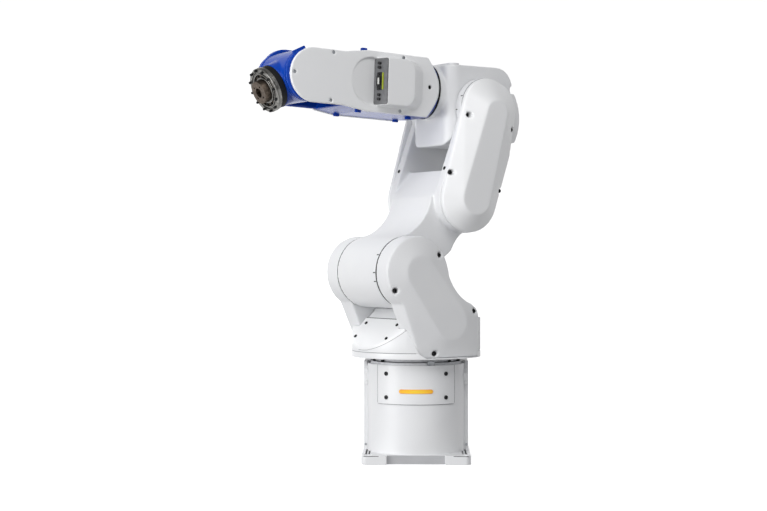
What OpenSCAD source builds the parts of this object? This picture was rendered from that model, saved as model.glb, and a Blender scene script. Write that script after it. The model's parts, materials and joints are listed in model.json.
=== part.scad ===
// Six-axis articulated robot arm, standing on its own base with the arm leaning back at the elbow.
// Millimetres, +Z up. The origin is the middle of the base's underside, on the first axis.
// The base's front faces -Y. The arm is drawn in a frame of its own, turned about Z by the heading:
// there +X points the way the arm reaches, and +Y to the side that carries the connector pod.

/* [Base] */
// Width and depth of the foot plate
foot_w = 235; // [230:1:245]
// Thickness of the foot plate
foot_t = 20; // [17:1:24]
// Radius of the half-round front cover
column_r = 107; // [105:1:108]
// Height of the top of the front cover
column_top = 211; // [208:1:211]
// Spacing of the four foot bolts
foot_pitch = 206; // [202:1:208]
// Diameter of the foot bolt holes
foot_hole_d = 9; // [8.5:0.5:10]

/* [Reach] */
// Heading of the arm about the first axis
heading = 215; // [0:1:360]
// Distance of the shoulder axis in front of the first axis
shoulder_x = 80; // [79:1:82]
// Height of the shoulder axis
shoulder_z = 411; // [410:1:413]
// Length of the lower arm, shoulder axis to elbow axis
lower_len = 410; // [408:1:412]
// Lean of the lower arm behind the vertical
lower_lean = 28.8; // [28:0.2:29.6]
// Height of the forearm axis over the elbow axis
elbow_rise = 36; // [34:1:38]
// Length of the forearm, elbow axis to wrist axis
fore_len = 430; // [426:1:436]
// Pitch of the forearm above the horizontal
fore_pitch = 2; // [0:0.5:3]
// Droop of the tool axis below the forearm
wrist_droop = 26; // [0:1:40]

/* [Sections] */
// Radius of the turret's round body
turret_r = 142; // [140:1:143]
// Radius of the shoulder drum
drum_r = 78; // [76:1:79]
// Radius of the elbow ears round the elbow axis
elbow_r = 66; // [64:1:67]
// Half the width of the forearm over its side covers
fore_half = 67; // [66:1:69]
// Half the height of the forearm at its back end
fore_back_h = 65; // [63:1:66]
// Half the height of the forearm at the wrist
fore_front_h = 57; // [56:1:58]
// Radius of the bolted ring round the tool flange
reducer_r = 48; // [46:1:48]
// Radius of the tool flange
flange_r = 24; // [22:1:25]

/* [Hidden] */
$fn = 96;
hull_fn = 48;

WHITE = "whitesmoke";
BLUE = "mediumblue";
STEEL = "silver";
DARK = "dimgray";

seam = 2;             // gap where one body turns against the next
fit = 0.3;            // clearance of a shaft in its bore
shaft_r = 30;         // stub shafts at the shoulder and the elbow
fork_half = 77;       // inner faces of the shoulder housings and of the elbow ears
housing_rim = 120;    // edge where the side housings' bevel starts
side_face = 135;      // flat outer faces of the side housings and covers
elbow_ear = 97;       // outer faces of the elbow ears
swing_r = 158;        // room round the elbow axis for the elbow housing to turn in

shoulder = [shoulder_x, shoulder_z];
elbow = shoulder + lower_len * [-sin(lower_lean), cos(lower_lean)];
knee = elbow + [49, -200];     // middle of the elbow ears' lower round end
knee_r = 74;
heel = [0, 307];               // lower end of the shoulder housings' raised face

// Ends of the straight line that touches two circles on one side
function tangent(a, ra, b, rb, way) =
    let (d = b - a, turn = atan2(d[1], d[0]) + way * acos((ra - rb) / norm(d)))
    [a + ra * [cos(turn), sin(turn)], b + rb * [cos(turn), sin(turn)]];

// Four corners between two circles, on their common tangents
function strap(a, ra, b, rb) =
    let (up = tangent(a, ra, b, rb, 1), down = tangent(a, ra, b, rb, -1))
    [up[0], up[1], down[1], down[0]];

// The arm's own frame, turned to the heading
module arm_frame() rotate([0, 0, heading]) children();

// Frame of the elbow: origin on the elbow axis
module elbow_frame() arm_frame() translate([elbow[0], 0, elbow[1]]) children();

// Frame of the forearm: X along the forearm's axis, from beside the elbow axis
module fore_frame() elbow_frame() rotate([0, -fore_pitch, 0]) translate([0, 0, elbow_rise]) children();

// Frame of the wrist: X along the tool axis, from the wrist axis
module wrist_frame() fore_frame() translate([fore_len, 0, 0]) rotate([0, wrist_droop, 0]) children();

// Raises a side-view outline, drawn as forward and up, from y0 to y1 across the arm
module side(y0, y1) translate([0, y1, 0]) rotate([90, 0, 0]) linear_extrude(y1 - y0) children();

// A round bar across the arm
module cross_bar(r, y0, y1, at = [0, 0])
    translate([at[0], y0, at[1]]) rotate([-90, 0, 0]) cylinder(r = r, h = y1 - y0);

// A round bar along the arm
module long_bar(r, x0, x1) translate([x0, 0, 0]) rotate([0, 90, 0]) cylinder(r = r, h = x1 - x0);

// Two round bars across the arm and the strap between them
module capsule_bar(a, ra, b, rb, y0, y1) {
    cross_bar(ra, y0, y1, a);
    cross_bar(rb, y0, y1, b);
    side(y0, y1) polygon(strap(a, ra, b, rb));
}

// Upright block with round corners, on its middle
module round_block(w, d, h, r) {
    translate([-w / 2 + r, -d / 2, 0]) cube([w - 2 * r, d, h]);
    translate([-w / 2, -d / 2 + r, 0]) cube([w, d - 2 * r, h]);
    for (x = [-1, 1], y = [-1, 1])
        translate([x * (w / 2 - r), y * (d / 2 - r), 0]) cylinder(r = r, h = h);
}

// Both sides of the arm, as mirror images
module both_sides() {
    children();
    mirror([0, 1, 0]) children();
}

// Base

foot_notch_w = 126;
foot_notch_d = 9;

module base_plate() color(WHITE) difference() {
    round_block(foot_w, foot_w, foot_t, 12);
    for (y = [-1, 1]) translate([-foot_notch_w / 2, y * foot_w / 2 - foot_notch_d, -1])
        cube([foot_notch_w, 2 * foot_notch_d, foot_t + 2]);
    for (x = [-1, 1], y = [-1, 1]) translate([x * foot_pitch / 2, y * foot_pitch / 2, 0]) {
        translate([0, 0, -1]) cylinder(d = foot_hole_d, h = foot_t + 2);
        translate([0, 0, foot_t - 5]) cylinder(d = 2 * foot_hole_d - 1, h = 6);
    }
}

housing_w = 229;
housing_front = -8;
housing_back = 112;
housing_top = 215;
ring_r = 100;
ring_z = column_top - 6;

module base_housing() color(WHITE) difference() {
    union() {
        translate([-housing_w / 2, housing_front, foot_t])
            cube([housing_w, 60, housing_top - foot_t]);
        translate([0, (housing_back + housing_front) / 2, foot_t])
            round_block(housing_w, housing_back - housing_front, housing_top - foot_t, 30);
    }
    translate([0, 0, ring_z]) cylinder(r = ring_r + 8, h = 30);
    for (x = [-1, 1]) translate([x * foot_pitch / 2, foot_pitch / 2, foot_t - 1])
        cylinder(d = 2 * foot_hole_d + 4, h = 45);
}

module base_front_cover() color(WHITE) difference() {
    translate([0, 0, foot_t]) cylinder(r = column_r, h = column_top - foot_t);
    translate([-200, housing_front, 0]) cube([400, 400, 400]);
    translate([0, 0, ring_z]) cylinder(r = ring_r, h = 30);
}

panel_t = 2.5;
panel_z = 128;
panel_angle = 49;
lamp_z = 155.7;
lamp_len = 73.6;
lamp_h = 9.2;

// Slot that shapes the lamp, cut towards the front
module lamp_slot(grow) translate([0, 0, lamp_z]) rotate([90, 0, 0]) {
    for (x = [-1, 1]) translate([x * (lamp_len - lamp_h) / 2, 0, 0]) cylinder(d = lamp_h + grow, h = 150);
    translate([-(lamp_len - lamp_h) / 2, -(lamp_h + grow) / 2, 0])
        cube([lamp_len - lamp_h, lamp_h + grow, 150]);
}

// Part of a shell round the first axis
module front_shell(thick, angle, z0, z1) intersection() {
    difference() {
        translate([0, 0, z0]) cylinder(r = column_r + thick, h = z1 - z0);
        translate([0, 0, z0 - 1]) cylinder(r = column_r, h = z1 - z0 + 2);
    }
    translate([0, 0, z0 - 1]) linear_extrude(z1 - z0 + 2)
        polygon([[0, 0], for (a = [-angle, 0, angle]) 250 * [sin(a), -cos(a)]]);
}

module base_front_panel() color(WHITE) difference() {
    front_shell(panel_t, panel_angle, panel_z, column_top);
    lamp_slot(0);
}

module status_lamp() color("orange") intersection() {
    front_shell(panel_t + 1, 40, panel_z, column_top);
    lamp_slot(-0.2);
}

rear_panel_w = 150;
rear_panel_h = 130;
rear_panel_z = 40;
rear_panel_t = 4;

module base_rear_panel() color(DARK) translate([-rear_panel_w / 2, housing_back, rear_panel_z])
    cube([rear_panel_w, rear_panel_t, rear_panel_h]);

module rear_sockets() color("black") translate([0, housing_back + rear_panel_t, 0]) {
    for (x = [-45, 45]) translate([x, 0, 70]) rotate([-90, 0, 0]) cylinder(r = 15, h = 10);
    for (x = [-48, -16, 16, 48]) translate([x, 0, 135]) rotate([-90, 0, 0]) cylinder(r = 5, h = 8);
    translate([-16, 0, 60]) cube([32, 7, 20]);
}

hub_z = 217.5;
hub_r = 90;
spigot_r = 60;

module turntable_ring() color(STEEL) difference() {
    translate([0, 0, ring_z]) cylinder(r = ring_r, h = hub_z - 1.5 - ring_z);
    translate([0, 0, ring_z - 1]) cylinder(r = spigot_r + fit, h = 20);
}

module stop_block() color(DARK) rotate([0, 0, 18]) translate([-8, -ring_r - 5, column_top])
    cube([16, 5, 9]);

// Turret

turret_z = 226;
turret_top = 311;
slope_top = [80, 311];         // top edge of the sloping front plate
plate_t = 4;
plate_half = 76;
plane_sum = slope_top[0] + slope_top[1] - plate_t * sqrt(2);   // forward plus height, under the plate
skirt_h = 12;
ledge_top = 330;               // top of the ledge above the plate, below the shoulder drum

module turret_hub() color(DARK) {
    translate([0, 0, hub_z]) cylinder(r = hub_r, h = turret_z - hub_z);
    translate([0, 0, ring_z + 1]) cylinder(r = spigot_r, h = hub_z - ring_z);
}

// Room over the skirt behind the shoulder housings, where the turret's body is narrower
module cross_room() for (y = [-1, 1]) translate([-260, y * (fork_half + 100) - 100, 0])
    cube([200, 200, 200]);

module turret_body() color(WHITE) arm_frame() difference() {
    union() {
        translate([0, 0, turret_z]) cylinder(r = turret_r, h = turret_top - turret_z);
        side(-plate_half + 1, plate_half - 1) polygon([
            [36, turret_top - 5],
            [plane_sum - turret_top + 5, turret_top - 5],
            [plane_sum - ledge_top, ledge_top],
            [36, ledge_top]
        ]);
    }
    translate([slope_top[0], 0, slope_top[1]]) rotate([0, 45, 0])
        translate([0, -200, -plate_t]) cube(400);
    both_sides() side(fork_half, 200) ear_outline();
    translate([0, 0, turret_z + skirt_h]) cross_room();
    translate([0, 0, turret_z + skirt_h]) difference() {
        cylinder(r = turret_r + 1, h = 1.5);
        translate([0, 0, -1]) cylinder(r = turret_r - 1.5, h = 4);
    }
}

module turret_front_plate() color(WHITE) arm_frame() difference() {
    intersection() {
        translate([0, 0, turret_z + skirt_h + 2]) cylinder(r = turret_r, h = 100);
        translate([slope_top[0], 0, slope_top[1]]) rotate([0, 45, 0])
            translate([0, -turret_r, -plate_t]) cube([150, 2 * turret_r, plate_t]);
    }
    both_sides() side(plate_half, 200) translate([1.5, 0]) ear_outline();
}

// Outline of a shoulder housing: round the shoulder axis, then back and down to the heel
ear_r = drum_r;
module ear_outline() {
    translate(shoulder) circle(ear_r);
    difference() {
        polygon([
            shoulder + 74 * [cos(54), -sin(54)],
            [79, turret_z + 19],
            [73, turret_z + 9],
            [62, turret_z + 2],
            [-81, turret_z + 2],
            [-81, 320],
            [-79, 328],
            [-74, 335],
            [-62, 342],
            shoulder + [-ear_r + 3, 12]
        ]);
        translate([-82, 428]) circle(87);
    }
}

// Screws of a shoulder housing, each at the bottom of a pocket in the bevel
housing_screws = [[138, 373], [37, 238], [25, 448], [-68, 327]];
pocket_r = 6.5;

// Sloping body of a shoulder housing, larger than its outline, which trims it
module housing_body() hull() {
    cross_bar(ear_r + 5, fork_half - 7, housing_rim - 1, shoulder, $fn = hull_fn);
    cross_bar(28, fork_half - 7, housing_rim - 1, [-60, 312], $fn = hull_fn);
    cross_bar(34, fork_half - 7, housing_rim - 1, [-55, 250], $fn = hull_fn);
    cross_bar(44, fork_half - 7, housing_rim - 1, [22, 262], $fn = hull_fn);
    cross_bar(40, fork_half - 7, housing_rim - 4, [46, 262], $fn = hull_fn);
    cross_bar(35, side_face - 1, side_face, shoulder, $fn = hull_fn);
    cross_bar(40, side_face - 1, side_face, heel, $fn = hull_fn);
}

module shoulder_housing() difference() {
    intersection() {
        housing_body();
        side(fork_half, side_face + 5) ear_outline();
    }
    cross_bar(shaft_r + fit, fork_half - 1, fork_half + 25, shoulder);
    for (at = housing_screws) cross_bar(pocket_r, housing_rim - 4, side_face + 5, at);
}

module shoulder_housing_right() color(WHITE) arm_frame() shoulder_housing();
module shoulder_housing_left() color(WHITE) arm_frame() mirror([0, 1, 0]) shoulder_housing();

// Lower arm

// Neck and saddle between the drum and the elbow ears, hollowed in front and behind
module neck_outline() difference() {
    polygon([
        shoulder + drum_r * [cos(78), sin(78)],
        [75, 600],
        [16, 570],
        [-36, 634],
        [-130, 620],
        knee + [-knee_r, 0],
        knee + [-56, -42],
        knee + [-34, -knee_r + 8],
        shoulder + [-drum_r + 3, 10]
    ]);
    translate([119, 593]) circle(108);
    translate([-130, 420]) circle(96);
    translate(elbow) circle(swing_r);
}

module lower_arm_casting() color(WHITE) arm_frame() {
    difference() {
        union() {
            cross_bar(drum_r, -fork_half + seam, fork_half - seam, shoulder);
            side(-fork_half + seam, fork_half - seam) neck_outline();
            both_sides() {
                capsule_bar(elbow, 50, knee, knee_r, fork_half, elbow_ear);
                cross_bar(elbow_r, fork_half, elbow_ear, elbow);
                intersection() {
                    side(fork_half - seam - 1, fork_half + 1) neck_outline();
                    capsule_bar(elbow, 50, knee, knee_r, 0, 200);
                }
            }
        }
        both_sides() cross_bar(shaft_r + fit, fork_half - 1, elbow_ear + 1, elbow);
    }
    both_sides() cross_bar(shaft_r, fork_half - seam - 1, fork_half + 20, shoulder);
}

// Cover on an elbow ear, sloping in to a flat face, with its screws in pockets at the edge
crown = elbow + [-14, -4];     // round upper end of the cover
bulge = elbow + [2, -90];      // widest place of the cover's back edge
cover_screws = [elbow + [57, -18], elbow + [102, -144], elbow + [-65, -45], elbow + [-32, -181]];
module elbow_cover(face) difference() {
    hull() {
        cross_bar(65, elbow_ear + 0.5, elbow_ear + 10, elbow, $fn = hull_fn);
        cross_bar(63, elbow_ear + 0.5, elbow_ear + 10, crown, $fn = hull_fn);
        cross_bar(64, elbow_ear + 0.5, elbow_ear + 10, bulge, $fn = hull_fn);
        cross_bar(knee_r - 1, elbow_ear + 0.5, elbow_ear + 10, knee, $fn = hull_fn);
        cross_bar(27, face - 1, face, elbow + [-6, -12], $fn = hull_fn);
        cross_bar(36, face - 1, face, elbow + [50.5, -199], $fn = hull_fn);
    }
    for (at = cover_screws) cross_bar(pocket_r, elbow_ear + 5.3, face + 5, at);
}

module elbow_cover_right() color(WHITE) arm_frame() elbow_cover(side_face);
module elbow_cover_left() color(WHITE) arm_frame() mirror([0, 1, 0]) elbow_cover(housing_rim);

module shoulder_seals() color(DARK) arm_frame() both_sides() difference() {
    cross_bar(drum_r - 1.5, fork_half - seam, fork_half - 0.4, shoulder);
    cross_bar(shaft_r + 5, fork_half - seam - 1, fork_half, shoulder);
}

// Elbow

block_half = 74;
block_front = 80.5;
block_top = 95;
block_low = -82;
collar_r = 60;
collar_gap = 4;                // room for the seal ring at the forearm's seam
fore_back = 99;                // seam between the elbow and the forearm, along the forearm

// Side view of the elbow housing about the elbow axis
back_r = 44;                   // round upper corner at the back
module block_outline() polygon([
    [block_front, block_low], [block_front, block_top],
    for (a = [90 : 10 : 180]) [-50, block_top - back_r] + back_r * [cos(a), sin(a)],
    [-90, 40], [-90, -72], [-62, block_low + 4], [-46, block_low]
]);

// Top view of the elbow housing, with round edges at the front
front_edge_r = 26;
module block_plan() {
    translate([-150, -block_half]) square([150 + block_front - front_edge_r, 2 * block_half]);
    translate([0, -block_half + front_edge_r]) square([block_front, 2 * (block_half - front_edge_r)]);
    for (y = [-1, 1]) translate([block_front - front_edge_r, y * (block_half - front_edge_r)])
        circle(front_edge_r);
}

// Front view of the elbow housing, round at its lower corners
low_r = 35;
module block_front_view() polygon([
    [-block_half, block_top], [-block_half, block_low + low_r],
    for (a = [180 : 10 : 270]) [-block_half + low_r, block_low + low_r] + low_r * [cos(a), sin(a)],
    for (a = [270 : 10 : 360]) [block_half - low_r, block_low + low_r] + low_r * [cos(a), sin(a)],
    [block_half, block_top]
]);

module elbow_housing() color(WHITE) elbow_frame() {
    difference() {
        union() {
            intersection() {
                side(-block_half, block_half) block_outline();
                translate([-150, 0, 0]) rotate([90, 0, 90]) linear_extrude(300) block_front_view();
                translate([0, 0, -150]) linear_extrude(300) block_plan();
            }
            difference() {
                rotate([0, -fore_pitch, 0]) translate([0, 0, elbow_rise])
                    long_bar(collar_r, 60, fore_back - collar_gap);
                translate([0, -100, block_top - 0.5]) cube([73, 200, 20]);
            }
        }
        rotate([0, -fore_pitch, 0]) translate([0, 0, elbow_rise]) long_bar(40 + fit, 60, 120);
        translate([-140, -100, 42]) cube([52, 200, 12]);
    }
    both_sides() cross_bar(shaft_r, block_half - 1, elbow_ear - 1);
}

module elbow_top_plate() color(WHITE) elbow_frame() translate([58.5, 0, block_top])
    round_block(27, 136, 4, 10);

module elbow_rear_cover() color(WHITE) elbow_frame() intersection() {
    cross_bar(110, -block_half + 6, block_half - 6, [-10, -16]);
    translate([-140, -block_half, -71]) cube([50, 2 * block_half, 111]);
}

module elbow_seals() color(DARK) elbow_frame() both_sides() difference() {
    cross_bar(elbow_r - 10, block_half, fork_half - 0.4);
    cross_bar(shaft_r + 5, block_half - 1, fork_half);
}

// Forearm

waist_x = 290;                 // where the forearm starts to narrow
fork_in = 53;                  // inner faces of the wrist fork
cover_in = 60;                 // inner faces of the side covers

// Side view of the forearm: deep at the back, narrowing to a round end at the wrist
module fore_solid(y0, y1, inset, end = fore_len) {
    h0 = fore_back_h - inset;
    h1 = fore_front_h - inset;
    cross_bar(h1, y0, y1, [end, 0]);
    side(y0, y1) polygon([
        [fore_back + 16, -h0], [waist_x, -h0], [waist_x + 22, -h0 + 3], [waist_x + 56, -h1], [end, -h1],
        [end, h1], [waist_x + 56, h1], [waist_x + 22, h0 - 3], [waist_x, h0], [fore_back + 16, h0],
        [fore_back + 3, h0 - 18], [fore_back + 1.5, 0], [fore_back + 3, -h0 + 18]
    ]);
}

// Round back end of the forearm, widening from the seal ring to the full section
end_x = fore_back + 45;
module round_end() {
    translate([fore_back + 1, 0, 0]) rotate([0, 90, 0])
        cylinder(r1 = collar_r + 2, r2 = collar_r + 40, h = end_x - fore_back - 1);
    translate([end_x - 0.01, -150, -150]) cube([500, 300, 300]);
}

prong_x = 345;                 // front end of the left cover, where the casting comes out to the side
prong_r = 58;                  // round top of the left prong
prong_top = [fore_len - 11, 7];
nose_room = 102;               // room round the wrist axis for the wrist to turn in
module forearm_casting() color(BLUE) fore_frame() {
    difference() {
        union() {
            intersection() {
                fore_solid(-cover_in, cover_in, 2);
                round_end();
            }
            intersection() {
                fore_solid(-fore_half, -cover_in, 2);
                translate([prong_x + 0.5, -100, -100]) cube(200);
            }
            cross_bar(prong_r, -fore_half, -fork_in, prong_top);
            side(-fore_half, -fork_in) polygon([
                [prong_x + 0.5, 0], [prong_top[0], 0],
                prong_top + [0, prong_r], [prong_x + 0.5, fore_back_h - 2]
            ]);
        }
        cross_bar(nose_room, -fork_in, fork_in, [fore_len, 0]);
        dish_floor(0.2);
        both_sides() cross_bar(20 + fit, fork_in - 1, cover_in, [fore_len, 0]);
    }
    long_bar(40, 65, fore_back + 10);
}

pod_back = 147;
pod_front = 258;               // outer edge of the connector plate
pod_half = 51;
pod_out = 97;
dish_r = 50;
dish_x = 280;                  // middle of the dish in front of the connector plate
dish_y = 60;                   // deepest place of the dish, at the plate
cover_end = fore_len - 9;      // middle of the right cover's round front end
plate_lean = 15;               // the connector plate leans out towards the side
function front_x(y) = pod_front + (pod_out - y) * tan(plate_lean);

// Raised pod behind the connector plate, sloping down at its back end
module pod() hull() {
    for (z = [-1, 1]) {
        cross_bar(28, fore_half - 2, fore_half - 1, [pod_back + 28, z * (pod_half - 28)], $fn = hull_fn);
        cross_bar(26, pod_out - 1, pod_out, [pod_back + 68, z * (pod_half - 27)], $fn = hull_fn);
    }
    translate([front_x(fore_half - 1) - 8, fore_half - 2, -pod_half]) cube([8, 1, 2 * pod_half]);
    translate([pod_front - 8, pod_out - 1, -pod_half + 1]) cube([8, 1, 2 * pod_half - 2]);
}

// Dish in front of the plate, as deep as the plate at its back and running out at its front
module dish() intersection() {
    translate([0, 0, -dish_r]) linear_extrude(2 * dish_r) polygon([
        [front_x(fore_half + 1), fore_half + 1], [front_x(dish_y), dish_y],
        [dish_x + dish_r, fore_half], [dish_x + dish_r, fore_half + 1]
    ]);
    cross_bar(dish_r, 0, 100, [dish_x, 0]);
}

// Room in the casting for the floor of the dish
module dish_floor(gap) translate([pod_front - 10 - gap, dish_y - 5 - gap, -pod_half - gap])
    cube([dish_x + dish_r - pod_front + 10 + 2 * gap, 20, 2 * (pod_half + gap)]);

// Screws along the edges of a side cover, each in a shallow pocket
edge_screws = [[376, 51], [380, -49], [469, 2], [199, 57.5], [205, -57.5]];
hand_hole = [128, 1];          // open hole at the back of the right cover
module screw_pockets(skip) for (at = edge_screws) if (at[0] < skip)
    cross_bar(4.6, fore_half - 2.5, fore_half + 1, at);

module forearm_cover_right() color(WHITE) fore_frame() difference() {
    union() {
        intersection() {
            fore_solid(cover_in, fore_half, 0, cover_end);
            round_end();
        }
        intersection() {
            dish_floor(0);
            translate([0, 0, -100]) cube([600, cover_in + 1, 200]);
        }
        pod();
    }
    screw_pockets(500);
    cross_bar(4.6, cover_in - 1, fore_half + 1, hand_hole);
    dish();
}

module forearm_cover_left() color(WHITE) fore_frame() mirror([0, 1, 0]) difference() {
    intersection() {
        fore_solid(cover_in, fore_half, 0);
        round_end();
    }
    translate([prong_x, 0, -100]) cube(200);
    screw_pockets(prong_x);
}

module forearm_seal() color(DARK) fore_frame() difference() {
    long_bar(collar_r + 1, fore_back - collar_gap + 0.4, fore_back + 1.5);
    long_bar(41, fore_back - 10, fore_back + 3);
}

// Frame of the connector plate: X out of the plate, Y along it from the bottom of the dish
module plate_frame() fore_frame() translate([front_x(dish_y), dish_y, 0])
    rotate([0, 0, plate_lean]) children();

plate_w = (pod_out - dish_y) / cos(plate_lean);
module connector_plate() color(STEEL) plate_frame() translate([0.02, 1.5, -pod_half + 4])
    cube([2.5, plate_w - 3, 2 * pod_half - 8]);

module signal_socket() color("black") plate_frame() translate([2.52, 10, -19]) cube([6, 14, 38]);

module air_fittings() color("black") plate_frame() for (z = [-38, -29, 29, 38])
    translate([2.52, 17, z]) rotate([0, 90, 0]) cylinder(r = 3, h = 6);

// Wrist

wrist_half = 51;
seal_x = 55;
ring_x = 70;
ring_front = 81;
tool_len = 94;

module wrist_housing() color(BLUE) wrist_frame() {
    cross_bar(seal_x - 0.5, -wrist_half, wrist_half);
    long_bar(reducer_r - 1, 0, seal_x);
    both_sides() cross_bar(20, wrist_half - 1, cover_in - 1);
}

module wrist_seal() color("black") wrist_frame() long_bar(reducer_r - 2, seal_x, ring_x);

module reducer_ring() color(STEEL) wrist_frame() difference() {
    long_bar(reducer_r, ring_x, ring_front);
    long_bar(34 + fit, ring_x + 4, ring_front + 1);
}

tool_pcd = 31.5;

module tool_flange() color(STEEL) wrist_frame() difference() {
    union() {
        long_bar(34, ring_x + 4.5, ring_front - 4);
        long_bar(flange_r, ring_front - 5, tool_len);
    }
    long_bar(10, tool_len - 8, tool_len + 1);
    for (a = [45 : 90 : 315]) rotate([a, 0, 0])
        translate([0, 0, tool_pcd / 2]) long_bar(2.1, tool_len - 10, tool_len + 1);
}

base_plate();
base_housing();
base_front_cover();
base_front_panel();
status_lamp();
base_rear_panel();
rear_sockets();
turntable_ring();
stop_block();
turret_hub();
turret_body();
turret_front_plate();
shoulder_housing_right();
shoulder_housing_left();
lower_arm_casting();
elbow_cover_right();
elbow_cover_left();
shoulder_seals();
elbow_housing();
elbow_top_plate();
elbow_rear_cover();
elbow_seals();
forearm_casting();
forearm_cover_right();
forearm_cover_left();
forearm_seal();
connector_plate();
signal_socket();
air_fittings();
wrist_housing();
wrist_seal();
reducer_ring();
tool_flange();
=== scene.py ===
import json
import math

import bmesh
import bpy
from mathutils import Matrix, Vector


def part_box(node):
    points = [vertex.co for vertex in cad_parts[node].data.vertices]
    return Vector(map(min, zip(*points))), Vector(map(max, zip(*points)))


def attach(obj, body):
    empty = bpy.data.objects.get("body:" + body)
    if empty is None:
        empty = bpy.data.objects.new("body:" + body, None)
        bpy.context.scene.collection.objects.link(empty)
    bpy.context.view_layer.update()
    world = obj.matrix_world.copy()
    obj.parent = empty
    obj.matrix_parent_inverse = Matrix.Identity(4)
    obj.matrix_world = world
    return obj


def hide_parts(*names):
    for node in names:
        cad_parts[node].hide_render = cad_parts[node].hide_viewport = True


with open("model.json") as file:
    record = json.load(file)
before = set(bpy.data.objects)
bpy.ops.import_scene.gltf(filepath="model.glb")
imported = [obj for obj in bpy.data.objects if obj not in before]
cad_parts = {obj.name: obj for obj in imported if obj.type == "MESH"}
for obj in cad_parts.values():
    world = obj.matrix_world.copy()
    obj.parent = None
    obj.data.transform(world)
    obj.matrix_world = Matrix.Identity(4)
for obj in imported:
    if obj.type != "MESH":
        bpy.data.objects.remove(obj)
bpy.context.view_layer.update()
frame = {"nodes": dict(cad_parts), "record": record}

# Foot plate and rear housing of the base.
# Aluminium castings with machined edges, sprayed with white baked enamel: an even, soft-gloss white
# with a faint orange peel, whose bumps are about 2 mm wide on the real paint.
MM = 0.001
ORANGE_PEEL_MM = 2.0
RELIEF_MM = 0.2
SHARP_EDGE = math.radians(35)


def linear(hex_colour):
    channels = [int(hex_colour[i:i + 2], 16) / 255 for i in (1, 3, 5)]
    return [c / 12.92 if c <= 0.04045 else ((c + 0.055) / 1.055) ** 2.4 for c in channels] + [1.0]


def add(tree, kind, links=None, **settings):
    node = tree.nodes.new(kind)
    for name, value in settings.items():
        if hasattr(node, name):
            setattr(node, name, value)
        else:
            node.inputs[name.replace("_", " ")].default_value = value
    for socket, source in (links or {}).items():
        tree.links.new(source, node.inputs[socket])
    return node


def new_finish(name, **settings):
    material = bpy.data.materials.new(name)
    material.use_nodes = True
    tree = material.node_tree
    tree.nodes.clear()
    surface = add(tree, "ShaderNodeBsdfPrincipled", **settings)
    add(tree, "ShaderNodeOutputMaterial", {"Surface": surface.outputs["BSDF"]})
    return material, tree, surface


def two_tones(tree, surface, spread, patch_mm, light, dark):
    place = add(tree, "ShaderNodeTexCoord")
    cloud = add(tree, "ShaderNodeTexNoise", {"Vector": place.outputs["Object"]},
                Scale=1 / (patch_mm * MM), Detail=3.0)
    tint = add(tree, "ShaderNodeValToRGB", {"Fac": cloud.outputs["Fac"]})
    tint.color_ramp.elements[0].position = 0.5 - spread
    tint.color_ramp.elements[0].color = linear(dark)
    tint.color_ramp.elements[1].position = 0.5 + spread
    tint.color_ramp.elements[1].color = linear(light)
    tree.links.new(tint.outputs["Color"], surface.inputs["Base Color"])


def fine_relief(tree, surface, size_mm, strength):
    place = add(tree, "ShaderNodeTexCoord")
    grain = add(tree, "ShaderNodeTexNoise", {"Vector": place.outputs["Object"]},
                Scale=1 / (size_mm * MM), Detail=2.0)
    relief = add(tree, "ShaderNodeBump", {"Height": grain.outputs["Fac"]},
                 Strength=strength, Distance=RELIEF_MM * MM)
    tree.links.new(relief.outputs["Normal"], surface.inputs["Normal"])


white_enamel, tree, surface = new_finish("white_baked_enamel", Roughness=0.42,
                                         Coat_Weight=0.15, Coat_Roughness=0.2)
two_tones(tree, surface, 0.2, 111, "#e8e9ea", "#e3e4e6")
fine_relief(tree, surface, ORANGE_PEEL_MM, 0.06)


def wear(name, material):
    node = frame["nodes"][name]
    node.data.materials.clear()
    node.data.materials.append(material)
    return node


def edged(name, material, radius_mm):
    node = wear(name, material)
    join = node.modifiers.new("one_skin", "WELD")
    join.merge_threshold = 0.01 * MM
    edge = node.modifiers.new("broken_edges", "BEVEL")
    edge.width = radius_mm * MM
    edge.segments = 3
    edge.limit_method = "ANGLE"
    edge.angle_limit = SHARP_EDGE


edged("base_plate", white_enamel, 1.5)
edged("base_housing", white_enamel, 1.5)

# Front cover of the base and the raised panel on it.
# Rolled aluminium sheets with folded edges, sprayed with the same enamel as the castings.
wear("base_front_cover", white_enamel)
wear("base_front_panel", white_enamel)

# Cap screws of the base panel.
# Steel socket-head screws, oxide-blackened, with a chamfered rim and a hex socket.
PANEL_R_MM = 109.5
HEAD_SIDES = 24
black_oxide, tree, surface = new_finish("black_oxide_steel", Metallic=0.6, Roughness=0.45)
two_tones(tree, surface, 0.3, 1.667, "#1f2022", "#111214")
base_at = Matrix.Identity(4)


def join_rings(mesh, rings):
    count = len(rings[0])
    for low, high in zip(rings, rings[1:]):
        for i in range(count):
            mesh.faces.new((low[i], low[(i + 1) % count], high[(i + 1) % count], high[i]))


def screw_head(mesh, place, normal, diameter_mm, height_mm):
    turn = normal.to_track_quat("Z", "Y").to_matrix().to_4x4()
    turn.translation = place
    r, h = diameter_mm * MM / 2, height_mm * MM
    hex_r = 0.5 * r
    rows = [(r, 0.0, 0), (r, 0.8 * h, 0), (0.86 * r, h, 0), (hex_r, h, 1), (hex_r, 0.35 * h, 1)]
    rings = []
    for radius, z, six_sided in rows:
        ring = []
        for i in range(HEAD_SIDES):
            a = 2 * math.pi * i / HEAD_SIDES
            corner = math.cos(math.pi / 6) / math.cos(a % (math.pi / 3) - math.pi / 6)
            reach = radius * (corner if six_sided else 1)
            ring.append(mesh.verts.new(turn @ Vector((reach * math.cos(a), reach * math.sin(a), z))))
        rings.append(ring)
    join_rings(mesh, rings)
    mesh.faces.new(rings[-1])
    mesh.faces.new(list(reversed(rings[0])))


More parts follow.
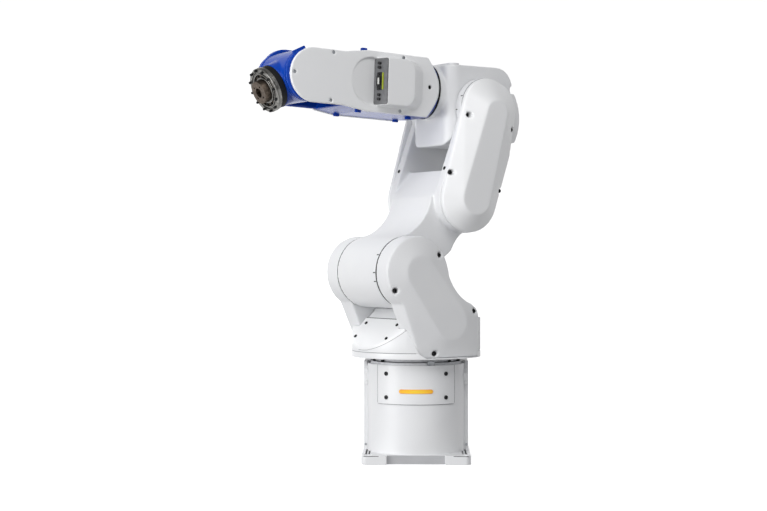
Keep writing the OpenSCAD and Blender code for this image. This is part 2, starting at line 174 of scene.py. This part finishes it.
def put(name, body, mesh, material, smooth=False):
    data = bpy.data.meshes.new(name)
    bmesh.ops.recalc_face_normals(mesh, faces=mesh.faces)
    mesh.to_mesh(data)
    mesh.free()
    for polygon in data.polygons:
        polygon.use_smooth = smooth
    piece = bpy.data.objects.new(name, data)
    bpy.context.scene.collection.objects.link(piece)
    data.materials.append(material)
    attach(piece, body)
    return piece


def screws(name, body, at, places, diameter_mm, height_mm, material):
    mesh = bmesh.new()
    for spot, normal in places:
        outward = (at.to_3x3() @ Vector(normal)).normalized()
        screw_head(mesh, at @ (Vector(spot) * MM), outward, diameter_mm, height_mm)
    put(name, body, mesh, material)


def on_drum(radius_mm, angle, z):
    outward = Vector((math.sin(angle), -math.cos(angle), 0))
    return radius_mm * outward + Vector((0, 0, z)), outward


panel_screws = []
for x in (-64, 64):
    for z in (193, 142):
        panel_screws.append(on_drum(PANEL_R_MM, math.asin(x / PANEL_R_MM), z))
screws("base_panel_screws", "base", base_at, panel_screws, 9, 2.2, black_oxide)

# Painted shade line round the raised panel, and the grey foam finish of the seams.
# A thin strip in that grey lies on the cover just outside the panel's rim and paints the shade along the
# panel's edges: a hairline down both sides and, a little wider, along the bottom.
SHADE_LINE_R_MM = 107
SHADE_LINE_HALF = 95
SHADE_LINE_TOP = 211
SHADE_LINE_MIDDLE = 160
SHADE_LINE_BOTTOM = 127.2
SHADE_LINE_CORNER = 4
grey_seam_and_shade, tree, surface = new_finish("grey_seam_and_painted_shade", Roughness=0.9)
two_tones(tree, surface, 0.3, 2.5, "#adaeb1", "#999a9d")


def hairline(mesh, at, path, width_mm, lift_mm):
    rows = [[], [], [], []]
    for k, (spot, normal) in enumerate(path):
        before, after = path[max(k - 1, 0)][0], path[min(k + 1, len(path) - 1)][0]
        aside = Vector(normal).cross(after - before).normalized() * width_mm / 2
        for row, (turn, lift) in zip(rows, ((-1, -1.0), (-1, lift_mm), (1, lift_mm), (1, -1.0))):
            row.append(mesh.verts.new(at @ ((spot + turn * aside + lift * Vector(normal)) * MM)))
    for a, b in zip(rows, rows[1:] + rows[:1]):
        for k in range(len(a) - 1):
            mesh.faces.new((a[k], a[k + 1], b[k + 1], b[k]))
    for end in (0, -1):
        mesh.faces.new([row[end] for row in rows])


rim = [(-SHADE_LINE_HALF, SHADE_LINE_TOP), (-SHADE_LINE_HALF, SHADE_LINE_MIDDLE)]
for k in range(7):
    a = math.pi * (1 + k / 12)
    rim.append((-SHADE_LINE_HALF + SHADE_LINE_CORNER * (1 + math.cos(a)),
                SHADE_LINE_BOTTOM + SHADE_LINE_CORNER * (1 + math.sin(a))))
side_count = len(rim)
rim += [(x, SHADE_LINE_BOTTOM) for x in range(-88, 1, 4)]
rim += [(-x, z) for x, z in reversed(rim[:-1])]
path = [on_drum(SHADE_LINE_R_MM, along / SHADE_LINE_R_MM, z) for along, z in rim]
# Painted shade: the grey strip stands for the shade along the panel's edges.
mesh = bmesh.new()
hairline(mesh, base_at, path, 0.7, 0.6)
hairline(mesh, base_at, path[side_count:-side_count], 1.3, 0.8)
put("base_panel_shade_line", "base", mesh, grey_seam_and_shade)

# Screws and clip lugs at the edges of the front cover.
# Zinc-plated pan-head screws at the bottom, and lugs at the top that hook the cover into the housing.
# The lugs are moulded ABS, a brighter and glossier white than the enamel, with the mould's fine texture.
FRONT = (0, -1, 0)
UP = (0, 0, 1)
COVER_EDGE_Y = -8
LUG_Z = 182
white_abs, tree, surface = new_finish("white_moulded_abs", Roughness=0.36,
                                      Coat_Weight=0.25, Coat_Roughness=0.15)
two_tones(tree, surface, 0.2, 143, "#f1f2f3", "#eeeff0")
fine_relief(tree, surface, 0.8, 0.03)
zinc_screw, tree, surface = new_finish("zinc_plated_screw", Metallic=1.0, Roughness=0.35)
two_tones(tree, surface, 0.3, 2, "#b9bcc0", "#8d9094")
edge_screws = [((x, COVER_EDGE_Y, 32), FRONT) for x in (-110.7, 110.7)]
screws("base_edge_screws", "base", base_at, edge_screws, 5, 1.5, zinc_screw)


def round_rectangle(width, height, radius, steps):
    outline = []
    for quarter, (sx, sy) in enumerate(((1, 1), (-1, 1), (-1, -1), (1, -1))):
        for i in range(steps + 1):
            a = math.pi / 2 * (quarter + i / steps)
            outline.append((sx * (width / 2 - radius) + radius * math.cos(a),
                            sy * (height / 2 - radius) + radius * math.sin(a)))
    return outline


def raised_plate(mesh, at, outline, low, high, chamfer):
    middle = Vector((sum(p[0] for p in outline), sum(p[1] for p in outline))) / len(outline)
    reach = max((Vector(p) - middle).length for p in outline)
    rings = []
    for level, inset in ((low, 0), (high - chamfer, 0), (high, chamfer)):
        ring = []
        for p in outline:
            q = middle + (Vector(p) - middle) * (1 - inset / reach)
            ring.append(mesh.verts.new(at @ (Vector((q.x, q.y, level)) * MM)))
        rings.append(ring)
    join_rings(mesh, rings)
    mesh.faces.new(rings[-1])
    mesh.faces.new(list(reversed(rings[0])))


def facing(at, spot, normal, up):
    z = Vector(normal).normalized()
    y = (Vector(up) - z * z.dot(Vector(up))).normalized()
    local = Matrix((y.cross(z), y, z)).transposed().to_4x4()
    local.translation = Vector(spot) * MM
    return at @ local


mesh = bmesh.new()
for side in (-1, 1):
    here = facing(base_at, (side * 108.5, COVER_EDGE_Y, LUG_Z), FRONT, UP)
    raised_plate(mesh, here, round_rectangle(5, 36, 2, 4), -2, 9, 1.5)
    here = facing(base_at, (side * 106, COVER_EDGE_Y, LUG_Z), FRONT, UP)
    raised_plate(mesh, here, round_rectangle(11, 20, 2, 4), -2, 14, 2)
put("base_cover_lugs", "base", mesh, white_abs)

# Grey face in the recess between the feet.
# A thin sheet over the foot plate's front there, a flat light grey with a sandy grain, darker than the
# enamel around it.
RECESS_W = 124
RECESS_H = 18.6
recess_grey, tree, surface = new_finish("grey_recess_face", Roughness=0.7)
two_tones(tree, surface, 0.25, 33.3, "#b8b9bc", "#b1b2b5")
fine_relief(tree, surface, 1.5, 0.03)
mesh = bmesh.new()
here = facing(base_at, (0, -108.5, 10), FRONT, UP)
raised_plate(mesh, here, round_rectangle(RECESS_W, RECESS_H, 1, 3), -1, 0.4, 0.2)
put("foot_recess_face", "base", mesh, recess_grey)

# Painted shadow lines along the upper edges of the feet, in black nitrile rubber.
# The rubber is as dark and as matt as a tyre; thin strips of it on the top of the feet's front faces paint
# the shadow at their upper edges. The seals of the arm's joints are made of it too.
black_rubber_and_shadow, tree, surface = new_finish("black_rubber_and_painted_shadow", Roughness=0.7, Specular_IOR_Level=0.25)
two_tones(tree, surface, 0.3, 5, "#101113", "#0a0b0c")
fine_relief(tree, surface, 1.0, 0.2)
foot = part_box("base_plate")
strip_y = foot[0][1] / MM
strip_z = foot[1][2] / MM - 1.6
# Painted shadow: dark strips at the top of the feet's front faces.
mesh = bmesh.new()
for side in (-1, 1):
    strip = [(Vector((side * x, strip_y, strip_z)), FRONT) for x in range(80, 113, 4)]
    hairline(mesh, base_at, strip, 1.2, 0.1)
put("foot_edge_shadow_lines", "base", mesh, black_rubber_and_shadow)

# Status lamp.
# A frosted amber acrylic lens over a row of small lamps, so it glows yellow along its middle and is
# amber at the rim. The glow fades over 45 mm along the lens and 6 mm across it.
LAMP_Z_MM = 155.7
GLOW_ALONG = 1 / (45.45 * MM)
GLOW_ACROSS = 1 / (5.882 * MM)
amber_lens, tree, surface = new_finish("lit_amber_acrylic", Roughness=0.3, Emission_Strength=0.16)
place = add(tree, "ShaderNodeTexCoord")
spread = add(tree, "ShaderNodeMapping", {"Vector": place.outputs["Object"]},
             Scale=(GLOW_ALONG, 0, GLOW_ACROSS), Location=(0, 0, -GLOW_ACROSS * LAMP_Z_MM * MM))
glow = add(tree, "ShaderNodeTexGradient", {"Vector": spread.outputs["Vector"]}, gradient_type="SPHERICAL")
heat = add(tree, "ShaderNodeValToRGB", {"Fac": glow.outputs["Fac"]})
heat.color_ramp.elements[0].color = linear("#d98f14")
heat.color_ramp.elements[1].color = linear("#eccb3a")
heat.color_ramp.elements.new(0.35).color = linear("#eeb422")
tree.links.new(heat.outputs["Color"], surface.inputs["Base Color"])
tree.links.new(heat.outputs["Color"], surface.inputs["Emission Color"])
wear("status_lamp", amber_lens)

# Rear panel of the base and its sockets.
# A zinc-plated steel plate with round power plugs, air ports and a signal plug of black glass-filled nylon.
REAR_INSET = 8
zinc_plate, tree, surface = new_finish("zinc_plated_steel", Metallic=0.85, Roughness=0.5)
two_tones(tree, surface, 0.25, 11.1, "#a3a5a8", "#85888c")
black_nylon, tree, surface = new_finish("black_filled_nylon", Roughness=0.5)
two_tones(tree, surface, 0.3, 3.333, "#1e1f21", "#141516")
fine_relief(tree, surface, 0.6, 0.2)
edged("base_rear_panel", zinc_plate, 0.8)
edged("rear_sockets", black_nylon, 1.0)
near, far = [[c / MM for c in corner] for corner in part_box("base_rear_panel")]
rear_screws = []
for x in (near[0] + REAR_INSET, far[0] - REAR_INSET):
    for z in (near[2] + REAR_INSET, far[2] - REAR_INSET):
        rear_screws.append(((x, far[1], z), (0, 1, 0)))
screws("rear_panel_screws", "base", base_at, rear_screws, 7, 3, zinc_screw)

# Turntable between the base and the turret.
# A phosphated bearing ring with cap screws and a hub above it, both matt grey, and a zinc-plated stop
# block in front.
RING_SCREWS_R = 95
grey_phosphate, tree, surface = new_finish("grey_phosphated_steel", Metallic=0.15, Roughness=0.6)
two_tones(tree, surface, 0.3, 7.14, "#dcdde0", "#c9cacd")
edged("turntable_ring", grey_phosphate, 0.8)
edged("turret_hub", grey_phosphate, 0.8)
edged("stop_block", zinc_plate, 1.0)
ring_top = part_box("turntable_ring")[1][2] / MM
ring_screws = []
for degrees in range(50, 311, 26):
    spot = on_drum(RING_SCREWS_R, math.radians(degrees), ring_top)[0]
    ring_screws.append((spot, UP))
screws("turntable_screws", "base", base_at, ring_screws, 7.5, 4.5, black_oxide)

# Turret body and the sloping plate at its front.
# A round casting with a groove above its skirt, and a moulded plate held by four black screws.
joints = {j["name"]: j for j in frame["record"]["behaviour"]["joints"]}


def axes_at(origin, forward, across):
    x = Vector(forward).normalized()
    y = Vector(across).normalized()
    at = Matrix((x, y, x.cross(y))).transposed().to_4x4()
    at.translation = Vector(origin)
    return at


across = -Vector(joints["j2_shoulder"]["axis"])
forward = across.cross(Vector(UP))
shoulder_at = axes_at(joints["j2_shoulder"]["pos_m"], forward, across)
edged("turret_body", white_enamel, 1.5)
edged("turret_front_plate", white_abs, 1.0)
plate_screws = []
for y in (-58, 62.5):
    for x, z in ((13, -113), (41, -141)):
        plate_screws.append(((x, y, z), (1, 0, 1)))
screws("front_plate_screws", "turret", shoulder_at, plate_screws, 7.5, 2.0, black_oxide)

# Seam lines of the turret.
# Grey sealant in the joint round the sloping plate and in the groove above the skirt, and a black line
# of painted shadow along the plate's upper edge. The plate slopes at 45 degrees, so x + z is the same
# all over it.
TURRET_R = 142
GROOVE_R = 140.9
GROOVE_Z = 238.8
PLATE_X_PLUS_Z = 385.3
PLATE_TOP_X = 81.5
PLATE_TOP_Z = 309.5
turret_at = axes_at((0, 0, 0), forward, across)
plate_curve = []
for degrees in range(-6, 51, 2):
    way = (math.cos(math.radians(degrees)), math.sin(math.radians(degrees)), 0)
    x, y = TURRET_R * way[0], TURRET_R * way[1]
    plate_curve.append((Vector((x, y, PLATE_X_PLUS_Z - x)), way))
slope = (math.sqrt(0.5), 0, math.sqrt(0.5))
plate_top = [(Vector((PLATE_TOP_X, y, PLATE_TOP_Z)), slope) for y in range(-74, 75, 4)]
skirt = []
for degrees in range(-55, 56, 2):
    way = (math.cos(math.radians(degrees)), math.sin(math.radians(degrees)), 0)
    skirt.append((Vector((GROOVE_R * way[0], GROOVE_R * way[1], GROOVE_Z)), way))
mesh = bmesh.new()
hairline(mesh, turret_at, plate_curve, 0.9, 0.25)
hairline(mesh, turret_at, skirt, 1.0, 0.2)
put("turret_seam_lines", "turret", mesh, grey_seam_and_shade)
# Painted shadow: a black strip along the sloping plate's upper edge.
mesh = bmesh.new()
hairline(mesh, turret_at, plate_top, 1.4, 0.3)
put("front_plate_edge_shadow", "turret", mesh, black_rubber_and_shadow)

# Shoulder housings.
# Sand-cast aluminium with soft edges about 5 mm round, enamelled, each held by four cap screws in pockets.
HOUSING_SCREWS = [(58, -38), (-43, -173), (-55, 37), (-148, -84)]
HOUSING_POCKET_Y = 116
KEPT_FACES = 0.45


def rounded(name, material, voxel_mm, passes):
    node = wear(name, material)
    skin = node.modifiers.new("cast_skin", "REMESH")
    skin.mode = "VOXEL"
    skin.voxel_size = voxel_mm * MM
    skin.use_smooth_shade = True
    ease = node.modifiers.new("cast_radii", "SMOOTH")
    ease.factor = 0.5
    ease.iterations = passes
    thin = node.modifiers.new("fewer_faces", "DECIMATE")
    thin.ratio = KEPT_FACES


def pocket_screws(name, body, at, spots, floor_mm, diameter_mm, height_mm):
    places = [((x, side * floor_mm, z), (0, side, 0)) for side in (1, -1) for x, z in spots]
    screws(name, body, at, places, diameter_mm, height_mm, black_oxide)


for name in ("shoulder_housing_right", "shoulder_housing_left"):
    rounded(name, white_enamel, 1.8, 26)
pocket_screws("shoulder_housing_screws", "turret", shoulder_at, HOUSING_SCREWS, HOUSING_POCKET_Y, 9, 6)

# Lower arm.
# One large aluminium casting: shoulder drum, hollowed neck and two elbow ears, in the same enamel as the
# housings. Black lip seals close the shoulder gaps.
SEAL_PROFILE = [(40, 74.6), (77, 74.6), (77.3, 75.6), (77, 76.9), (40, 76.9)]
rounded("lower_arm_casting", white_enamel, 2.2, 6)


def turned(mesh, at, profile, steps):
    rings = []
    for radius, x in profile:
        ring = []
        for i in range(steps):
            a = 2 * math.pi * i / steps
            ring.append(mesh.verts.new(at @ (Vector((x, radius * math.cos(a), radius * math.sin(a))) * MM)))
        rings.append(ring)
    join_rings(mesh, rings + rings[:1])


drum_at = axes_at(joints["j2_shoulder"]["pos_m"], across, UP)
mesh = bmesh.new()
for side in (-1, 1):
    turned(mesh, drum_at, [(radius, side * x) for radius, x in SEAL_PROFILE], 96)
seals = put("shoulder_lip_seals", "lower_arm", mesh, black_rubber_and_shadow, True)
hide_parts("shoulder_seals")

# Index marks beside the shoulder seam.
# Short scribed strokes filled with dark grey paint, used to set the joint to zero.
DRUM_R = 78
mark_paint, tree, surface = new_finish("dark_grey_mark_paint", Roughness=0.5)
two_tones(tree, surface, 0.3, 2.5, "#4a4c50", "#393b3e")


def round_axis(at, degrees, radius_mm, x, y):
    way = (math.cos(math.radians(degrees)), 0, math.sin(math.radians(degrees)))
    return facing(at, (x + radius_mm * way[0], y, radius_mm * way[2]), way, (0, 1, 0))


def index_marks(name, at, radius_mm, spots, width_mm, length_mm):
    mesh = bmesh.new()
    for degrees, y in spots:
        here = round_axis(at, degrees, radius_mm, 0, y)
        raised_plate(mesh, here, round_rectangle(width_mm, length_mm, 1, 4), -0.6, 0.35, 0.1)
    put(name, "lower_arm", mesh, mark_paint)


index_marks("shoulder_index_marks", shoulder_at, DRUM_R, [(29, 70.5), (0, 70.5), (-14, 70.5)], 2.4, 7)

# Elbow covers.
# Moulded ABS shells over the ears' bearings and belts, each on a foam seam and held by four cap screws in
# pockets. Painted strokes beside the seam mark the elbow's zero.
COVER_SCREWS = [(57, -18), (102, -144), (-65, -45), (-32, -181)]
COVER_POCKET_Y = 102.3
SEAM_PROFILE = [(50, 96.2), (65.2, 96.2), (65.2, 98.2), (50, 98.2)]
ELBOW_R = 66
elbow_at = axes_at(joints["j3_elbow"]["pos_m"], forward, across)
for name in ("elbow_cover_right", "elbow_cover_left"):
    rounded(name, white_abs, 1.8, 8)
pocket_screws("elbow_cover_screws", "lower_arm", elbow_at, COVER_SCREWS, COVER_POCKET_Y, 9, 5)
pivot_at = axes_at(joints["j3_elbow"]["pos_m"], across, UP)
mesh = bmesh.new()
for side in (-1, 1):
    turned(mesh, pivot_at, [(radius, side * x) for radius, x in SEAM_PROFILE], 96)
put("elbow_cover_seams", "lower_arm", mesh, grey_seam_and_shade, True)
index_marks("elbow_index_marks", elbow_at, ELBOW_R, [(22, 93), (-4, 80.5)], 2.2, 6)
ear_screws = [((103, side * 87, -134), (0.934, 0, 0.359)) for side in (1, -1)]
screws("elbow_ear_screws", "lower_arm", elbow_at, ear_screws, 8, 1.5, black_oxide)

# Elbow housing with its top plate and rear cap.
# A cast box with round edges that carries the roll motor, a bolted plate on top and a moulded cap behind.
rounded("elbow_housing", white_enamel, 2.0, 8)
edged("elbow_top_plate", white_enamel, 1.2)
rounded("elbow_rear_cover", white_abs, 1.8, 8)
wear("elbow_seals", black_rubber_and_shadow)

# Forearm casting.
# Cast aluminium with gloss cobalt two-pack paint, thicker and shinier than the white enamel. Small lugs
# are cast on above and below for the covers' clips, and a rib along the right prong of the fork.
LUG_FACE_Z = 63
WRIST_X = 331
RIB_R = 56
fore_at = axes_at(joints["j4_roll"]["pos_m"], -Vector(joints["j4_roll"]["axis"]), across)
cobalt_paint, tree, surface = new_finish("gloss_cobalt_paint", Roughness=0.25, Specular_IOR_Level=0.2)
two_tones(tree, surface, 0.2, 111, "#0441ab", "#043a9f")
fine_relief(tree, surface, ORANGE_PEEL_MM, 0.06)
rounded("forearm_casting", cobalt_paint, 2.0, 5)
wear("forearm_seal", black_rubber_and_shadow)
mesh = bmesh.new()
for x, y, side in ((193, -52, -1), (38, -52, -1), (203, 50, -1), (54, 20, -1), (60, -40, 1)):
    here = facing(fore_at, (x, y, side * LUG_FACE_Z), (0, 0, side), (0, 1, 0))
    raised_plate(mesh, here, round_rectangle(13, 8, 2.5, 4), -3, 4.5, 1)
here = facing(fore_at, (189, 45, LUG_FACE_Z), UP, (0, 1, 0))
raised_plate(mesh, here, round_rectangle(14, 9, 2.5, 4), -3, 8.5, 1)
here = round_axis(fore_at, 63, RIB_R, WRIST_X, 56.5)
raised_plate(mesh, here, round_rectangle(32, 5, 1.5, 4), -5, 2.5, 1.5)
put("forearm_clip_lugs", "forearm", mesh, cobalt_paint)

# Side covers of the forearm.
# Moulded ABS with a raised connector pod on the right, held by small screws in shallow pockets. Their
# places count from the elbow's axis, which is behind the seam where the forearm rolls.
SIDE_SCREWS = [(376, 51), (380, -49), (469, 2), (199, 57.5), (205, -57.5)]
SIDE_POCKET_Y = 64.5
ROLL_SEAM = 99
LEFT_COVER_END = 345
for name in ("forearm_cover_right", "forearm_cover_left"):
    rounded(name, white_abs, 1.5, 6)
side_places = [((x - ROLL_SEAM, SIDE_POCKET_Y, z), (0, 1, 0)) for x, z in SIDE_SCREWS]
for x, z in SIDE_SCREWS:
    if x < LEFT_COVER_END:
        side_places.append(((x - ROLL_SEAM, -SIDE_POCKET_Y, z), (0, -1, 0)))
screws("forearm_cover_screws", "forearm", fore_at, side_places, 7, 2.2, zinc_screw)
screws("forearm_deep_screw", "forearm", fore_at, [((29, 60.2, 1), (0, 1, 0))], 8.6, 3.5, black_oxide)

# Connectors on the pod.
# A grey anodised plate that leans out from the pod's front, with a black signal plug and small push-in
# air fittings. The plug has a pale nylon insert, and a strip of yellow-green silicone lies beside it.
PLATE_LEAN = math.radians(15)
PLATE_FACE = 2.52
POD_FRONT = 258
POD_OUT = 97
DISH_Y = 60
PLUG_BASE = 2.2
grey_anodise, tree, surface = new_finish("grey_anodised_plate", Metallic=0.5, Roughness=0.5)
two_tones(tree, surface, 0.25, 8.333, "#77787a", "#67686a")
edged("air_fittings", black_nylon, 0.6)
plate_out = Vector((math.cos(PLATE_LEAN), math.sin(PLATE_LEAN), 0))
plate_along = Vector((-math.sin(PLATE_LEAN), math.cos(PLATE_LEAN), 0))
plate_foot_x = POD_FRONT + (POD_OUT - DISH_Y) * math.tan(PLATE_LEAN) - ROLL_SEAM
plate_foot = Vector((plate_foot_x, DISH_Y, 0)) + PLATE_FACE * plate_out
mesh = bmesh.new()
here = facing(fore_at, plate_foot + 19.2 * plate_along, plate_out, UP)
raised_plate(mesh, here, round_rectangle(37.4, 98, 4, 5), -2.5, 0.3, 0.4)
plug_plate = put("connector_panel", "forearm", mesh, grey_anodise)
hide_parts("connector_plate")
plug_at = facing(fore_at, plate_foot + 17 * plate_along, plate_out, UP)
mesh = bmesh.new()
raised_plate(mesh, plug_at, round_rectangle(14, 38, 2, 4), 0, PLUG_BASE, 0.4)
for y in (-15.5, 15.5):
    screw_head(mesh, plug_at @ (Vector((0, y, PLUG_BASE)) * MM), plug_at.to_3x3() @ Vector(UP), 5, 3)
shell = [(-4.6, -11), (4.6, -9.5), (4.6, 9.5), (-4.6, 11)]
rings = []
for grow, level in ((1.0, PLUG_BASE), (1.0, 6.4), (0.8, 6.4), (0.8, 3.4)):
    rings.append([mesh.verts.new(plug_at @ (Vector((x * grow, y * grow, level)) * MM)) for x, y in shell])
join_rings(mesh, rings)
mesh.faces.new(rings[-1])
plug = put("signal_plug", "forearm", mesh, black_nylon)
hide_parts("signal_socket")
pale_nylon, tree, surface = new_finish("pale_nylon_insert", Roughness=0.5)
two_tones(tree, surface, 0.3, 3.333, "#d9dad6", "#c9cac6")
mesh = bmesh.new()
raised_plate(mesh, plug_at, round_rectangle(4.4, 14, 1, 4), 3.2, 5.6, 0.4)
put("signal_plug_insert", "forearm", mesh, pale_nylon)
silicone, tree, surface = new_finish("yellow_green_silicone", Roughness=0.45)
two_tones(tree, surface, 0.3, 3.333, "#a9b52a", "#93a01f")
mesh = bmesh.new()
gasket_at = facing(fore_at, plate_foot + 26 * plate_along, plate_out, UP)
raised_plate(mesh, gasket_at, round_rectangle(3.4, 36, 1.2, 4), 0, 2.0, 0.4)
put("signal_plug_gasket", "forearm", mesh, silicone)

# Wrist.
# A small blue casting that pitches in the forearm's fork, closed by a rubber seal.
tool_at = axes_at(joints["j5_pitch"]["pos_m"], joints["j6_flange"]["axis"], across)
rounded("wrist_housing", cobalt_paint, 1.6, 6)
edged("wrist_seal", black_rubber_and_shadow, 1.0)

# Reducer ring and tool flange.
# Bare machined steel, oiled and slightly brown, with painted shade that darkens it in the corners and
# recesses. A ring of cap screws stands proud round the rim, with smaller ones inside it.
RIM_PROFILE = [(48, 70), (48, 75.5), (47.2, 76), (47.2, 77), (48, 77.5), (48, 80), (47, 81), (41, 81),
               (40.4, 80.4), (40.4, 79), (36.5, 79), (36.5, 80.6), (36, 81), (35, 81), (34.4, 80.4),
               (34.4, 74.2), (10, 74.2), (10, 70)]
COLLAR_PROFILE = [(23, 76.5), (28.4, 76.5), (28.4, 79), (27.6, 79.8), (25.4, 79.8), (25, 79.2), (23, 79.2)]
RIM_FACE, RIM_SCREWS_R = 81, 44
DISC_FACE, DISC_SCREWS_R = 77, 31
DISC_TURN = 0.2
SCREW_COUNT = 12


# Painted shade: an ambient-occlusion mask darkens the base colour towards a dark colour in corners and
# recesses.
def corner_shade(tree, surface, reach_mm, shade_colour):
    open_tone = surface.inputs["Base Color"].links[0].from_socket
    corner = add(tree, "ShaderNodeAmbientOcclusion", Distance=reach_mm * MM, samples=6)
    mixed = add(tree, "ShaderNodeMixRGB", {"Fac": corner.outputs["AO"], "Color2": open_tone},
                Color1=linear(shade_colour))
    tree.links.new(mixed.outputs["Color"], surface.inputs["Base Color"])


oiled_steel, tree, surface = new_finish("oiled_machined_steel", Metallic=1.0, Roughness=0.33)
two_tones(tree, surface, 0.25, 6.25, "#989794", "#656461")
corner_shade(tree, surface, 6, "#1f1c19")
brown_steel, tree, surface = new_finish("browned_flange_steel", Metallic=1.0, Roughness=0.42)
two_tones(tree, surface, 0.25, 6.25, "#6e6359", "#443c35")
corner_shade(tree, surface, 8, "#14110f")
mesh = bmesh.new()
turned(mesh, tool_at, RIM_PROFILE, 72)
ring = put("reducer_rim", "wrist", mesh, oiled_steel)
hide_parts("reducer_ring")
edged("tool_flange", brown_steel, 0.8)
rim_screws = []
disc_screws = []
for i in range(SCREW_COUNT):
    a = 2 * math.pi * i / SCREW_COUNT
    b = a + DISC_TURN
    rim_screws.append(((RIM_FACE, RIM_SCREWS_R * math.cos(a), RIM_SCREWS_R * math.sin(a)), (1, 0, 0)))
    disc_screws.append(((DISC_FACE, DISC_SCREWS_R * math.cos(b), DISC_SCREWS_R * math.sin(b)), (1, 0, 0)))
screws("reducer_rim_screws", "wrist", tool_at, rim_screws, 5.6, 4.5, black_oxide)
screws("flange_disc_screws", "flange", tool_at, disc_screws, 4.4, 2.6, black_oxide)
mesh = bmesh.new()
turned(mesh, tool_at, COLLAR_PROFILE, 64)
put("flange_collar", "flange", mesh, oiled_steel)

# Studio.
# White paper that sweeps up behind the arm in a wide bend, five soft boxes and a bright room, and a camera
# level with the middle of the arm. The paper glows a little, so that it stays white. Sizes are in metres.
PAPER_HALF = 9.0
PAPER_FRONT = -7.0
PAPER_BACK = 4.0
PAPER_TOP = 6.0
PAPER_BEND = 2.0
BEND_STEPS = 24
ROOM_LIGHT = 0.30
line = [(PAPER_FRONT, 0.0)]
for i in range(BEND_STEPS + 1):
    a = math.pi / 2 * i / BEND_STEPS
    line.append((PAPER_BACK - PAPER_BEND * (1 - math.sin(a)), PAPER_BEND * (1 - math.cos(a))))
line.append((PAPER_BACK, PAPER_TOP))
mesh = bmesh.new()
rows = [[mesh.verts.new((x, y, z)) for x in (-PAPER_HALF, PAPER_HALF)] for y, z in line]
for a, b in zip(rows, rows[1:]):
    mesh.faces.new((a[0], a[1], b[1], b[0])).smooth = True
data = bpy.data.meshes.new("studio_sweep")
mesh.to_mesh(data)
mesh.free()
floor = bpy.data.objects.new("studio_sweep", data)
bpy.context.scene.collection.objects.link(floor)
paper, tree, surface = new_finish("white_studio_paper", Roughness=0.9, Emission_Strength=0.55)
two_tones(tree, surface, 0.3, 500, "#fbfbfb", "#f8f8f8")
surface.inputs["Emission Color"].default_value = linear("#ffffff")
floor.visible_diffuse = False
floor.data.materials.append(paper)


def softbox(name, place, aim, size, power):
    light = bpy.data.lights.new(name, "AREA")
    light.shape = "RECTANGLE"
    light.size, light.size_y = size
    light.energy = power
    lamp = bpy.data.objects.new(name, light)
    lamp.location = place
    lamp.rotation_euler = (Vector(aim) - Vector(place)).to_track_quat("-Z", "Y").to_euler()
    bpy.context.scene.collection.objects.link(lamp)


softbox("key_left", (-2.2, -3.2, 1.9), (0, 0, 0.5), (2.4, 2.4), 56)
softbox("low_left", (-2.4, -1.6, 0.2), (0.2, 0.1, 0.8), (1.2, 1.2), 46)
softbox("high_front", (0.3, -2.6, 3.0), (0, 0, 0.7), (2.0, 2.0), 41)
softbox("rear_left", (-1.4, 3.2, 0.9), (0, 0, 0.5), (1.6, 1.6), 36)
softbox("fill_right", (2.2, -3.0, 1.2), (0, 0, 0.5), (1.2, 1.6), 5)

world = bpy.data.worlds.new("studio_air")
world.use_nodes = True
air = world.node_tree
air.nodes["Background"].inputs["Color"].default_value = linear("#fdfdff")
seen = add(air, "ShaderNodeLightPath")
glow = add(air, "ShaderNodeMapRange", {"Value": seen.outputs["Is Camera Ray"]}, To_Min=ROOM_LIGHT, To_Max=1.0)
air.links.new(glow.outputs["Result"], air.nodes["Background"].inputs["Strength"])
bpy.context.scene.world = world
bpy.context.scene.view_settings.view_transform = "Standard"

camera_data = bpy.data.cameras.new("studio_camera")
camera_data.sensor_width = 36
camera_data.lens = 75.1
camera = bpy.data.objects.new("studio_camera", camera_data)
camera.location = (0, -3.53, 0.447)
camera.rotation_euler = (math.radians(90), 0, math.radians(1.165))
bpy.context.scene.collection.objects.link(camera)
bpy.context.scene.camera = camera
